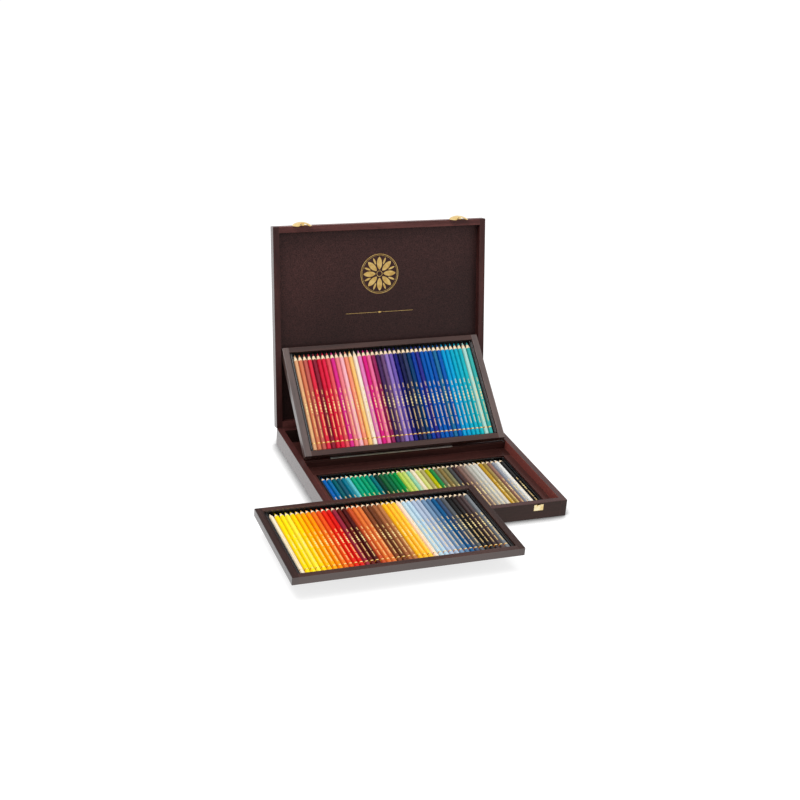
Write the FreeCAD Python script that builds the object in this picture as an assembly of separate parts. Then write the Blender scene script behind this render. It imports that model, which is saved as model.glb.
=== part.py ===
"""A wooden pencil case with a hinged lid and lift-out trays, 40 hexagonal pencils in each layer.

Frame: millimetres, +Z up, +X to the right, +Y to the rear. The origin is the centre of the case's
underside. The lid stands open, one tray leans on it, and the other leans on the case's front rim.
"""
import FreeCAD, Part
import math
import os

from FreeCAD import Vector

# ---- Driving dimensions, millimetres and degrees ---------------------------------------------------

# Pencils, each lying on a flat
PENCIL_COUNT = 40          # in one layer
PENCIL_FLATS = 6.9         # across flats
PENCIL_GAP = 0.08          # between the corners of neighbours
PENCIL_LENGTH = 177.8
CONE_LENGTH = 13.8         # sharpened part
LEAD_TIP_RADIUS = 0.35
END_CHAMFER = 0.9          # rounded blunt end

# Black liner around a layer
LINER_FLOOR = 0.8
LINER_WALL = 0.6           # thin end walls
LINER_SIDE = 5.55          # raised margin beside the outer pencils
LINER_DEPTH = 8.2          # floor to rim
LINER_FIT = 0.3            # clearance to the wood
LINER_CORNER = 4.0
BEAD_CHANNEL_WIDTH = 1.9   # channel between the two beads of the side margin
BEAD_CHANNEL_DEPTH = 0.9
END_GAP = 1.4              # rail to the blunt ends
TIP_GAP = 2.2              # rail to the tips
TIP_RIB_WIDTH = 1.0        # ribs that part the tips
TIP_RIB_LENGTH = 8.0
TIP_RIB_HEIGHT = 3.2       # above the liner's floor

# Trays
TRAY_BOTTOM = 2.0
TRAY_HEADROOM = 2.7        # pencils to the top of the rails
TRAY_SIDE_RAIL = 11.0
TRAY_END_RAIL = 9.5
TRAY_REBATE = 4.0          # how far the bottom board laps under the rails
TRAY_SIDE_CLEAR = 2.0      # tray to the case, each side
TRAY_END_CLEAR = 3.5       # tray to the case, each end
TRAY_EDGE = 0.6            # rounding of the outer edges

# Case
CASE_WALL = 10.5
PANEL = 3.0                # bottom panel and lid panel
PANEL_REBATE = 5.0
DECK_HEADROOM = 2.4        # bottom pencils to the deck that carries a tray
RECESS_DEPTH = 1.2         # shallow recess in the deck behind the bottom layer
RECESS_MARGIN = 3.0
RECESS_SIDE = 12.0
RECESS_CORNER = 5.0
PLATFORM_DEPTH = 72.0      # raised platform behind the tray well
PLATFORM_BOARD = 3.0
PLATFORM_RISER = 4.0
TROUGH_DEPTH = 39.6        # trough behind the platform
RIM_ABOVE_PLATFORM = 2.5
LID_HEADROOM = 3.3         # stowed tray to the lid panel
RIM_GAP = 0.2              # between the closed rims
CASE_EDGE = 0.8            # rounding of the outer edges
LID_EDGE = 1.8             # rounding of the lid's top edges
INNER_EDGE = 0.4           # rounding of the inner rim edges

# Stop strip on the platform
STRIP_LENGTH = 215.0
STRIP_LEFT = -133.0        # its left end from the middle
STRIP_WIDTH = 3.4
STRIP_HEIGHT = 1.5
STRIP_SETBACK = 0.4        # from the platform's front edge

# Poses
LID_OPEN = 102.0           # degrees from closed
SEAT_GAP = 0.2             # where one loose piece leans on another
TOP_TRAY_FOOT = 5.9        # foot behind the platform's front edge
FRONT_TRAY_X = -127.7      # front tray's middle, left of the case's middle
FRONT_TRAY_OUT = 141.0     # how far the front tray stands out in front of the case

# Lid hinges
HINGE_X = 120.0            # middle of each hinge, left and right
HINGE_LENGTH = 40.0
HINGE_KNUCKLES = 5
HINGE_BARREL_RADIUS = 2.6
HINGE_PIN_RADIUS = 1.2
HINGE_LEAF = 1.0           # leaf thickness
HINGE_LEAF_WIDTH = 8.5
HINGE_SCREW_PITCH = 14.0
RUNNING_FIT = 0.05         # radial, pin in a turning knuckle
KNUCKLE_GAP = 0.2
WOOD_RELIEF = 0.3          # wood to a turning barrel

# Screws
SCREW_RADIUS = 1.0
SCREW_HEAD_RADIUS = 1.8
SCREW_HEAD_HEIGHT = 0.8
SCREW_LENGTH = 6.5

# Catches
CATCH_X = 140.0
CATCH_PLATE_WIDTH = 18.0
CATCH_PLATE_HEIGHT = 9.0
CATCH_PLATE = 0.8
CATCH_PIVOT_OUT = 2.7      # pivot to the case's front face
CATCH_PIVOT_UP = 8.8       # pivot above the lid's rim
CATCH_EAR = 1.2
CATCH_EAR_RADIUS = 1.6
CATCH_PIN_RADIUS = 0.8
CATCH_BARREL_RADIUS = 1.6
CATCH_BARREL_LENGTH = 9.0
TONGUE_WIDTH = 33.5
TONGUE_BULGE = 6.2         # how far the arched tongue stands out
TONGUE_CURL = 40.0         # radius with which it curls in towards its lower end
TONGUE_CURL_UP = 5.0       # where it stands out furthest, below the pivot
TONGUE_SHEET = 1.1
TONGUE_REACH = 11.5        # below the closed rim
TONGUE_NOTCH = 5.0         # height of the arch between the lobes
TONGUE_NOTCH_WIDTH = 12.0
TONGUE_FACE_GAP = 0.4      # tongue to the case's front face
HOOK_WIDTH = 3.2
HOOK_THICK = 1.0
KEEPER_WIDTH = 16.2
KEEPER_HEIGHT = 10.4
KEEPER_PLATE = 0.8
KEEPER_BELOW_RIM = 2.3
NIB_WIDTH = 5.2
NIB_HEIGHT = 2.4
NIB_OUT = 2.2              # nib to the case's front face
NIB_LIP = 0.7              # thickness of the nib's lip and floor
MOUTH_WIDTH = 6.0          # opening in the plate and the wood behind the nib
MOUTH_BELOW = 1.6          # below the plate's top edge
MOUTH_ABOVE = 0.8          # above it
MOUTH_DEPTH = 2.0          # into the wood
PIN_RADIUS = 0.6           # nails of the plates
PIN_HEAD_RADIUS = 1.1
PIN_HEAD = 0.35
PIN_LENGTH = 6.0
PIN_SETBACK = 2.6          # nail to the plate's side edge

# ---- Sizes that follow -----------------------------------------------------------------------------

PENCIL_CORNERS = PENCIL_FLATS / math.cos(math.radians(30.0))
PENCIL_PITCH = PENCIL_CORNERS + PENCIL_GAP
LAYER_WIDTH = PENCIL_COUNT * PENCIL_PITCH + 2 * LINER_SIDE
LAYER_LENGTH = END_GAP + PENCIL_LENGTH + TIP_GAP

TRAY_WIDTH = LAYER_WIDTH + 2 * TRAY_SIDE_RAIL
TRAY_LENGTH = LAYER_LENGTH + 2 * TRAY_END_RAIL
TRAY_HEIGHT = TRAY_BOTTOM + LINER_FLOOR + PENCIL_FLATS + TRAY_HEADROOM

WELL_LENGTH = TRAY_LENGTH + 2 * TRAY_END_CLEAR
CASE_WIDTH = TRAY_WIDTH + 2 * TRAY_SIDE_CLEAR + 2 * CASE_WALL
CASE_DEPTH = WELL_LENGTH + PLATFORM_DEPTH + TROUGH_DEPTH + 2 * CASE_WALL
DECK_TOP = PANEL + LINER_FLOOR + PENCIL_FLATS + DECK_HEADROOM
PLATFORM_TOP = DECK_TOP + TRAY_HEIGHT
BASE_HEIGHT = PLATFORM_TOP + RIM_ABOVE_PLATFORM
LID_RIM = BASE_HEIGHT + RIM_GAP
LID_HOLLOW = TRAY_HEIGHT - RIM_ABOVE_PLATFORM - RIM_GAP + LID_HEADROOM
LID_TOP = LID_RIM + LID_HOLLOW + PANEL

RIGHT = CASE_WIDTH / 2
REAR = CASE_DEPTH / 2
FRONT = -REAR
INNER_RIGHT = RIGHT - CASE_WALL
INNER_REAR = REAR - CASE_WALL
INNER_FRONT = -INNER_REAR
LAYER_FRONT = INNER_FRONT               # the bottom layer begins at the front rail
LAYER_REAR = LAYER_FRONT + LAYER_LENGTH
PLATFORM_FRONT = INNER_FRONT + WELL_LENGTH
PLATFORM_REAR = PLATFORM_FRONT + PLATFORM_DEPTH
HINGE_Z = BASE_HEIGHT + RIM_GAP / 2     # the hinge axis lies along the rear edge
KNUCKLE = HINGE_LENGTH / HINGE_KNUCKLES
PIVOT_Y = FRONT - CATCH_PIVOT_OUT
PIVOT_Z = LID_RIM + CATCH_PIVOT_UP


# ---- Helpers ---------------------------------------------------------------------------------------

def box(x0, x1, y0, y1, z0, z1):
    """A box between two corners."""
    return Part.makeBox(x1 - x0, y1 - y0, z1 - z0, Vector(x0, y0, z0))


def rod(radius, x0, x1, y, z):
    """A cylinder along X."""
    return Part.makeCylinder(radius, x1 - x0, Vector(x0, y, z), Vector(1, 0, 0))


def turned(shape, degrees, y, z):
    """A copy turned about the line along +X through (y, z)."""
    copy = shape.copy()
    copy.rotate(Vector(0, y, z), Vector(1, 0, 0), degrees)
    return copy


def moved(shape, x=0.0, y=0.0, z=0.0):
    """A copy moved by (x, y, z)."""
    copy = shape.copy()
    copy.translate(Vector(x, y, z))
    return copy


def united(shapes):
    """One clean solid from shapes that touch."""
    return shapes[0].fuse(shapes[1:]).removeSplitter()


def edges_at(shape, x=None, y=None, z=None):
    """Straight edges whose two ends both lie on the given planes."""
    def on(edge, axis, place):
        return all(abs(getattr(v.Point, axis) - place) < 1e-6 for v in edge.Vertexes)
    wanted = [(a, p) for a, p in (("x", x), ("y", y), ("z", z)) if p is not None]
    return [e for e in shape.Edges if all(on(e, a, p) for a, p in wanted)]


def rounded_box(half_x, y0, y1, z0, z1, low, high, upright):
    """A box with rounded bottom, top and upright outer edges."""
    block = box(-half_x, half_x, y0, y1, z0, z1)
    block = block.makeFillet(upright, [e for x in (-half_x, half_x) for y in (y0, y1)
                                       for e in edges_at(block, x=x, y=y)])
    block = block.makeFillet(low, rim_edges(block, z0))
    return block.makeFillet(high, rim_edges(block, z1))


def rim_edges(shape, z):
    """Edges that lie in the plane at z."""
    return [e for e in shape.Edges
            if abs(e.BoundBox.ZMin - z) < 1e-6 and abs(e.BoundBox.ZMax - z) < 1e-6]


def frame_boards(ring, half_x, side, y0, y1, end, z0, z1):
    """Cut a frame ring into two full-length side boards and the two rails that butt between them."""
    inner = half_x - side
    cuts = {
        "left": box(-half_x, -inner, y0, y1, z0, z1),
        "right": box(inner, half_x, y0, y1, z0, z1),
        "front": box(-inner, inner, y0, y0 + end, z0, z1),
        "back": box(-inner, inner, y1 - end, y1, z0, z1),
    }
    return {name: ring.common(cut) for name, cut in cuts.items()}


def hollowed(block, half_x, y0, y1, z0, z1, rim_z):
    """A block with a hollow through it, whose edges at rim_z are rounded."""
    ring = block.cut(box(-half_x, half_x, y0, y1, z0, z1))
    inner = [e for e in rim_edges(ring, rim_z)
             if abs(e.BoundBox.XMin) < half_x + 1e-6 and abs(e.BoundBox.XMax) < half_x + 1e-6
             and e.BoundBox.YMin > y0 - 1e-6 and e.BoundBox.YMax < y1 + 1e-6]
    return ring.makeFillet(INNER_EDGE, inner)


# ---- Poses -----------------------------------------------------------------------------------------

def open_lid(shape):
    """From the closed lid's place to the open one."""
    return turned(shape, -LID_OPEN, REAR, HINGE_Z)


def top_tray_lean():
    """The top tray's tilt: foot on the platform, head against the open lid's panel."""
    past = math.radians(LID_OPEN - 90.0)
    foot_y, foot_z = top_tray_foot()
    panel = LID_RIM + LID_HOLLOW - HINGE_Z - SEAT_GAP
    ahead = (foot_y - REAR) * math.cos(past) - (foot_z - HINGE_Z) * math.sin(past)
    return math.degrees(math.acos((panel - ahead) / TRAY_LENGTH) - past)


def top_tray_foot():
    """Where the lower edge of the top tray's underside stands."""
    return PLATFORM_FRONT + TOP_TRAY_FOOT, PLATFORM_TOP + SEAT_GAP


def lean_top_tray(shape):
    """From the tray's own frame, with its underside's front edge on X, to the top tray's place."""
    return moved(turned(shape, top_tray_lean(), 0, 0), 0, *top_tray_foot())


def lay_front_tray(shape):
    """From the tray's own frame to the front tray's place, flat on the case's front rim."""
    return moved(shape, FRONT_TRAY_X, FRONT - FRONT_TRAY_OUT, BASE_HEIGHT + SEAT_GAP)


# ---- Pencils and liners ----------------------------------------------------------------------------

def pencil():
    """One sharpened pencil along +Y, blunt end at the origin, its lower flat at z = 0."""
    corner = PENCIL_CORNERS / 2
    points = [Vector(corner * math.cos(math.radians(60 * i)), 0,
                     PENCIL_FLATS / 2 + corner * math.sin(math.radians(60 * i))) for i in range(6)]
    prism = Part.Face(Part.makePolygon(points + points[:1])).extrude(Vector(0, PENCIL_LENGTH, 0))
    full = corner + PENCIL_GAP
    middle = PENCIL_FLATS / 2
    outline = [(0, 0), (full - END_CHAMFER, 0), (full, END_CHAMFER), (full, PENCIL_LENGTH - CONE_LENGTH),
               (LEAD_TIP_RADIUS, PENCIL_LENGTH), (0, PENCIL_LENGTH)]
    wire = Part.makePolygon([Vector(r, y, middle) for r, y in outline + outline[:1]])
    turning = Part.Face(wire).revolve(Vector(0, 0, middle), Vector(0, 1, 0), 360)
    return prism.common(turning)


def pencil_places():
    """The middle of each pencil across the layer."""
    return [(i - (PENCIL_COUNT - 1) / 2) * PENCIL_PITCH for i in range(PENCIL_COUNT)]


def pencil_layer(y, z):
    """A layer of pencils whose rail face is at y and whose lower flats are at z."""
    one = pencil()
    return Part.makeCompound([moved(one, x, y + END_GAP, z) for x in pencil_places()])


def liner(y, z):
    """The formed black liner of one layer, from the rail face at y and the board at z."""
    half = LAYER_WIDTH / 2 - LINER_FIT
    front, rear = y + LINER_FIT, y + LAYER_LENGTH - LINER_FIT
    top = z + LINER_DEPTH
    block = box(-half, half, front, rear, z, top)
    block = block.makeFillet(LINER_CORNER, [e for x in (-half, half) for end in (front, rear)
                                            for e in edges_at(block, x=x, y=end)])
    pocket_half = LAYER_WIDTH / 2 - LINER_SIDE
    floor = z + LINER_FLOOR
    pocket = box(-pocket_half, pocket_half, front + LINER_WALL, rear - LINER_WALL, floor, top)
    channel_middle = (half + pocket_half) / 2
    channels = [box(side * channel_middle - BEAD_CHANNEL_WIDTH / 2,
                    side * channel_middle + BEAD_CHANNEL_WIDTH / 2,
                    front + LINER_CORNER, rear - LINER_CORNER, top - BEAD_CHANNEL_DEPTH, top)
                for side in (-1, 1)]
    tray = block.cut([pocket] + channels)
    ribs = [box(x + PENCIL_PITCH / 2 - TIP_RIB_WIDTH / 2, x + PENCIL_PITCH / 2 + TIP_RIB_WIDTH / 2,
                rear - LINER_WALL - TIP_RIB_LENGTH, rear - LINER_WALL, floor, floor + TIP_RIB_HEIGHT)
            for x in pencil_places()[:-1]]
    return united([tray] + ribs)


# ---- Trays -----------------------------------------------------------------------------------------

def tray(name):
    """A tray in its own frame: underside at z = 0, front edge on X."""
    half, inner_half = TRAY_WIDTH / 2, LAYER_WIDTH / 2
    block = rounded_box(half, 0, TRAY_LENGTH, 0, TRAY_HEIGHT, TRAY_EDGE, TRAY_EDGE, TRAY_EDGE)
    ring = hollowed(block, inner_half, TRAY_END_RAIL, TRAY_LENGTH - TRAY_END_RAIL, 0, TRAY_HEIGHT,
                    TRAY_HEIGHT)
    lap = inner_half + TRAY_REBATE
    bottom = box(-lap, lap, TRAY_END_RAIL - TRAY_REBATE, TRAY_LENGTH - TRAY_END_RAIL + TRAY_REBATE,
                 0, TRAY_BOTTOM)
    boards = frame_boards(ring.cut(bottom), half, TRAY_SIDE_RAIL, 0, TRAY_LENGTH, TRAY_END_RAIL,
                          0, TRAY_HEIGHT)
    nodes = {f"{name}_{side}_rail": board for side, board in boards.items()}
    nodes[f"{name}_bottom"] = bottom
    nodes[f"{name}_liner"] = liner(TRAY_END_RAIL, TRAY_BOTTOM)
    nodes[f"{name}_pencils"] = pencil_layer(TRAY_END_RAIL, TRAY_BOTTOM + LINER_FLOOR)
    return nodes


# ---- Lid hinges ------------------------------------------------------------------------------------

def knuckle_ends(number, gap):
    """The x range of one knuckle, from the hinge's middle."""
    start = -HINGE_LENGTH / 2 + number * KNUCKLE
    return start + gap, start + KNUCKLE - gap


def screw(x, y, z, up):
    """A countersunk screw with its flush head at z, driven up or down."""
    point = Vector(x, y, z)
    way = Vector(0, 0, 1 if up else -1)
    head = Part.makeCone(SCREW_HEAD_RADIUS, SCREW_RADIUS, SCREW_HEAD_HEIGHT, point, way)
    return head.fuse(Part.makeCylinder(SCREW_RADIUS, SCREW_LENGTH, point, way)).removeSplitter()


def hinge_screws(middle, lid):
    """The screws of one leaf."""
    count = int(HINGE_LENGTH // HINGE_SCREW_PITCH) + 1
    y = REAR - (HINGE_LEAF_WIDTH + HINGE_BARREL_RADIUS) / 2
    z = LID_RIM if lid else BASE_HEIGHT
    return [screw(middle + (i - (count - 1) / 2) * HINGE_SCREW_PITCH, y, z, lid) for i in range(count)]


def hinge_leaf(middle, lid):
    """One leaf with its knuckles, in the closed case. The base's leaf has the end knuckles."""
    z0 = LID_RIM if lid else BASE_HEIGHT - HINGE_LEAF
    half = HINGE_LENGTH / 2
    plate = box(middle - half, middle + half, REAR - HINGE_LEAF_WIDTH, REAR, z0, z0 + HINGE_LEAF)
    own = [n for n in range(HINGE_KNUCKLES) if (n % 2 == 1) == lid]
    other = [n for n in range(HINGE_KNUCKLES) if (n % 2 == 1) != lid]
    gap = KNUCKLE_GAP if lid else 0.0
    barrels = [rod(HINGE_BARREL_RADIUS, middle + a, middle + b, REAR, HINGE_Z)
               for a, b in (knuckle_ends(n, gap) for n in own)]
    clear = [rod(HINGE_BARREL_RADIUS + WOOD_RELIEF, middle + a, middle + b, REAR, HINGE_Z)
             for a, b in (knuckle_ends(n, gap - KNUCKLE_GAP) for n in other)]
    bore = rod(HINGE_PIN_RADIUS + (RUNNING_FIT if lid else 0.0), middle - half, middle + half,
               REAR, HINGE_Z)
    leaf = united([plate.cut(clear)] + barrels)
    return leaf.cut([bore] + hinge_screws(middle, lid))


def hinge_pocket(middle, lid):
    """What a hinge takes out of the wood: the leaf's mortise, the barrel's relief and the screws."""
    half = HINGE_LENGTH / 2 + KNUCKLE_GAP
    z0 = LID_RIM if lid else BASE_HEIGHT - HINGE_LEAF
    mortise = box(middle - half, middle + half, REAR - HINGE_LEAF_WIDTH, REAR + 1, z0, z0 + HINGE_LEAF)
    relief = rod(HINGE_BARREL_RADIUS + WOOD_RELIEF, middle - half, middle + half, REAR, HINGE_Z)
    return [mortise, relief] + hinge_screws(middle, lid)


# ---- Catches ---------------------------------------------------------------------------------------

def plate_pins(middle, z):
    """The two round-headed nails of a plate on the front face, whose outer surface is the plate's."""
    pins = []
    for side in (-1, 1):
        start = Vector(middle + side * (CATCH_PLATE_WIDTH / 2 - PIN_SETBACK), FRONT - CATCH_PLATE, z)
        shank = Part.makeCylinder(PIN_RADIUS, PIN_LENGTH, start, Vector(0, 1, 0))
        head = Part.makeCylinder(PIN_HEAD_RADIUS, PIN_HEAD, start, Vector(0, -1, 0))
        pins.append(united([shank, head]))
    return pins


def catch_plate_pins(middle):
    """Nails of a catch's plate, above its ears."""
    return plate_pins(middle, PIVOT_Z + CATCH_PLATE_HEIGHT / 2 - PIN_HEAD_RADIUS)


def keeper_pins(middle):
    """Nails of a keeper."""
    return plate_pins(middle, BASE_HEIGHT - KEEPER_BELOW_RIM - KEEPER_HEIGHT / 2)


def catch_plate(middle):
    """The plate on the lid's front rail, with the two ears that hold the catch's pin."""
    half, up = CATCH_PLATE_WIDTH / 2, CATCH_PLATE_HEIGHT / 2
    plate = box(middle - half, middle + half, FRONT - CATCH_PLATE, FRONT, PIVOT_Z - up, PIVOT_Z + up)
    ears = []
    for side in (-1, 1):
        inner = middle + side * (CATCH_BARREL_LENGTH / 2 + KNUCKLE_GAP)
        x0, x1 = sorted((inner, inner + side * CATCH_EAR))
        round_end = rod(CATCH_EAR_RADIUS, x0, x1, PIVOT_Y, PIVOT_Z)
        root = box(x0, x1, PIVOT_Y, FRONT - CATCH_PLATE / 2, PIVOT_Z - CATCH_EAR_RADIUS,
                   PIVOT_Z + CATCH_EAR_RADIUS)
        ears += [round_end, root]
    return united([plate] + ears).cut([catch_pin(middle)] + catch_plate_pins(middle))


def catch_pin(middle):
    """The pin through both ears."""
    half = CATCH_BARREL_LENGTH / 2 + KNUCKLE_GAP + CATCH_EAR
    return rod(CATCH_PIN_RADIUS, middle - half, middle + half, PIVOT_Y, PIVOT_Z)


def tongue_outline(middle):
    """The tongue seen from the front: round shoulders and two lobes with an arch between them."""
    half, notch = TONGUE_WIDTH / 2, TONGUE_NOTCH_WIDTH / 2
    top, low = PIVOT_Z, LID_RIM - TONGUE_REACH
    waist = (top + low) / 2
    lobe = (half + notch) / 2
    neck = CATCH_BARREL_LENGTH / 2
    y = FRONT - 2 * TONGUE_BULGE

    def at(x, z):
        return Vector(middle + x, y, z)

    def arc(start, through, end):
        return Part.Arc(at(*start), at(*through), at(*end)).toShape()

    def lobe_arc(side):
        ends = [(side * half, waist), (side * lobe, low), (side * notch, low + TONGUE_NOTCH / 3)]
        return ends if side > 0 else ends[::-1]

    shoulder_x, shoulder_z = neck + 0.8 * (half - neck), waist + 0.75 * (top - waist)
    edges = [
        Part.LineSegment(at(-neck, top), at(neck, top)).toShape(),
        arc((neck, top), (shoulder_x, shoulder_z), (half, waist)),
        arc(*lobe_arc(1)),
        arc((notch, low + TONGUE_NOTCH / 3), (0, low + TONGUE_NOTCH), (-notch, low + TONGUE_NOTCH / 3)),
        arc(*lobe_arc(-1)),
        arc((-half, waist), (-shoulder_x, shoulder_z), (-neck, top)),
    ]
    return Part.Face(Part.Wire(edges)).extrude(Vector(0, 3 * TONGUE_BULGE, 0))


def catch_tongue(middle):
    """The arched tongue that swings on the pin, hangs over the keeper and hooks under its nib."""
    half = TONGUE_WIDTH / 2
    back = FRONT - TONGUE_FACE_GAP
    radius = (half ** 2 + TONGUE_BULGE ** 2) / (2 * TONGUE_BULGE)
    centre_y = back - TONGUE_BULGE + radius
    curl_y, curl_z = back - TONGUE_BULGE + TONGUE_CURL, PIVOT_Z - TONGUE_CURL_UP

    def domed(inset):
        """What lies behind the tongue's outer face, set in by some distance."""
        reach, arch = half + 1, radius - inset
        side_y = centre_y - math.sqrt(arch ** 2 - reach ** 2)

        def at(x, y):
            return Vector(middle + x, y, curl_z)

        edges = [
            Part.Arc(at(-reach, side_y), at(0, centre_y - arch), at(reach, side_y)).toShape(),
            Part.LineSegment(at(reach, side_y), at(reach, curl_y)).toShape(),
            Part.LineSegment(at(reach, curl_y), at(-reach, curl_y)).toShape(),
            Part.LineSegment(at(-reach, curl_y), at(-reach, side_y)).toShape(),
        ]
        section = turned(Part.Face(Part.Wire(edges)), -75.0, curl_y, curl_z)
        return section.revolve(Vector(0, curl_y, curl_z), Vector(1, 0, 0), 150.0)

    low = LID_RIM - TONGUE_REACH
    ahead = box(middle - half, middle + half, back - 2 * TONGUE_BULGE, back, low, PIVOT_Z)
    outline = tongue_outline(middle)
    sheet = domed(0.0).cut(domed(TONGUE_SHEET)).common(ahead).common(outline)
    filled = domed(TONGUE_SHEET / 2).common(ahead).common(outline)
    barrel_half = CATCH_BARREL_LENGTH / 2
    barrel = rod(CATCH_BARREL_RADIUS, middle - barrel_half, middle + barrel_half, PIVOT_Y, PIVOT_Z)
    roof = box(middle - barrel_half, middle + barrel_half, back - 2 * TONGUE_BULGE, PIVOT_Y,
               PIVOT_Z - TONGUE_SHEET, PIVOT_Z)
    hook_top = hook_level()
    hook_face = FRONT - KEEPER_PLATE - TONGUE_FACE_GAP
    hook = box(middle - HOOK_WIDTH / 2, middle + HOOK_WIDTH / 2, back - 2 * TONGUE_BULGE, hook_face,
               hook_top - HOOK_THICK, hook_top)
    bore = rod(CATCH_PIN_RADIUS + RUNNING_FIT, middle - half, middle + half, PIVOT_Y, PIVOT_Z)
    return united([sheet, barrel, roof.common(filled), hook.common(filled)]).cut(bore)


def nib_low():
    """The underside of the keeper's nib, whose floor is level with the mouth's lower edge."""
    return BASE_HEIGHT - KEEPER_BELOW_RIM - MOUTH_BELOW - NIB_LIP


def hook_level():
    """The top of the hook, just under the keeper's nib."""
    return nib_low() - TONGUE_FACE_GAP


def keeper(middle):
    """The plate on the base's front rail, with the nib that the tongue hooks under."""
    half = KEEPER_WIDTH / 2
    top = BASE_HEIGHT - KEEPER_BELOW_RIM
    plate = box(middle - half, middle + half, FRONT - KEEPER_PLATE, FRONT, top - KEEPER_HEIGHT, top)
    low, x0, x1 = nib_low(), middle - NIB_WIDTH / 2, middle + NIB_WIDTH / 2
    lip = box(x0, x1, FRONT - NIB_OUT, FRONT - NIB_OUT + NIB_LIP, low, low + NIB_HEIGHT)
    floor = box(x0, x1, FRONT - NIB_OUT, FRONT, low, low + NIB_LIP)
    return united([plate.cut(keeper_mouth(middle)), lip, floor]).cut(keeper_pins(middle))


def keeper_mouth(middle):
    """The opening behind the nib, in the plate's top edge and the front rail."""
    top = BASE_HEIGHT - KEEPER_BELOW_RIM
    return box(middle - MOUTH_WIDTH / 2, middle + MOUTH_WIDTH / 2, FRONT - KEEPER_PLATE - 1,
               FRONT + MOUTH_DEPTH, top - MOUTH_BELOW, top + MOUTH_ABOVE)


# ---- Base ------------------------------------------------------------------------------------------

def base():
    """The fixed case: frame, bottom, deck, platform, bottom layer and hardware."""
    block = rounded_box(RIGHT, FRONT, REAR, 0, BASE_HEIGHT, CASE_EDGE, CASE_EDGE / 2, CASE_EDGE)
    ring = hollowed(block, INNER_RIGHT, INNER_FRONT, INNER_REAR, 0, BASE_HEIGHT, BASE_HEIGHT)
    lap_x, lap_y = INNER_RIGHT + PANEL_REBATE, INNER_REAR + PANEL_REBATE
    panel = box(-lap_x, lap_x, -lap_y, lap_y, 0, PANEL)
    boards = frame_boards(ring.cut(panel), RIGHT, CASE_WALL, FRONT, REAR, CASE_WALL, 0, BASE_HEIGHT)
    hinges = {"left": -HINGE_X, "right": HINGE_X}
    catches = {"left": -CATCH_X, "right": CATCH_X}
    pockets = [tool for x in hinges.values() for tool in hinge_pocket(x, False)]
    nails = [nail for x in catches.values() for nail in keeper_pins(x)]
    nodes = {
        "base_left_board": boards["left"],
        "base_right_board": boards["right"],
        "base_front_rail": boards["front"].cut(nails + [keeper_mouth(x) for x in catches.values()]),
        "base_back_rail": boards["back"].cut(pockets),
        "base_bottom_panel": panel,
    }
    nodes.update(deck())
    nodes.update(platform())
    nodes["bottom_liner"] = liner(LAYER_FRONT, PANEL)
    nodes["bottom_pencils"] = pencil_layer(LAYER_FRONT, PANEL + LINER_FLOOR)
    for side, x in hinges.items():
        nodes[f"hinge_{side}_base_leaf"] = hinge_leaf(x, False)
        nodes[f"hinge_{side}_pin"] = rod(HINGE_PIN_RADIUS, x - HINGE_LENGTH / 2, x + HINGE_LENGTH / 2,
                                         REAR, HINGE_Z)
    nodes["base_hinge_screws"] = Part.makeCompound(
        [s for x in hinges.values() for s in hinge_screws(x, False)])
    for side, x in catches.items():
        nodes[f"keeper_{side}"] = keeper(x)
    nodes["keeper_nails"] = Part.makeCompound(nails)
    return nodes


def deck():
    """The ledges beside and behind the bottom layer, on which a tray rests."""
    layer_half = LAYER_WIDTH / 2
    nodes = {}
    for side, x0, x1 in (("left", -INNER_RIGHT, -layer_half), ("right", layer_half, INNER_RIGHT)):
        nodes[f"deck_{side}_strip"] = box(x0, x1, INNER_FRONT, LAYER_REAR, PANEL, DECK_TOP)
    back = box(-INNER_RIGHT, INNER_RIGHT, LAYER_REAR, PLATFORM_FRONT, PANEL, DECK_TOP)
    reach_x = INNER_RIGHT - RECESS_SIDE
    y0, y1 = LAYER_REAR + RECESS_MARGIN, PLATFORM_FRONT - RECESS_MARGIN
    recess = box(-reach_x, reach_x, y0, y1, DECK_TOP - RECESS_DEPTH, DECK_TOP + RECESS_DEPTH)
    corners = [e for x in (-reach_x, reach_x) for y in (y0, y1) for e in edges_at(recess, x=x, y=y)]
    nodes["deck_back_board"] = back.cut(recess.makeFillet(RECESS_CORNER, corners))
    return nodes


def platform():
    """The raised platform behind the tray well, with its stop strip."""
    under = PLATFORM_TOP - PLATFORM_BOARD
    top = box(-INNER_RIGHT, INNER_RIGHT, PLATFORM_FRONT, PLATFORM_REAR, under, PLATFORM_TOP)
    top = top.makeFillet(INNER_EDGE, [e for y in (PLATFORM_FRONT, PLATFORM_REAR)
                                      for e in edges_at(top, y=y, z=PLATFORM_TOP)])
    front = PLATFORM_FRONT + STRIP_SETBACK
    return {
        "platform_top": top,
        "platform_front_riser": box(-INNER_RIGHT, INNER_RIGHT, PLATFORM_FRONT,
                                    PLATFORM_FRONT + PLATFORM_RISER, PANEL, under),
        "platform_back_riser": box(-INNER_RIGHT, INNER_RIGHT, PLATFORM_REAR - PLATFORM_RISER,
                                   PLATFORM_REAR, PANEL, under),
        "tray_stop_strip": box(STRIP_LEFT, STRIP_LEFT + STRIP_LENGTH, front, front + STRIP_WIDTH,
                               PLATFORM_TOP, PLATFORM_TOP + STRIP_HEIGHT),
    }


# ---- Lid -------------------------------------------------------------------------------------------

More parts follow.
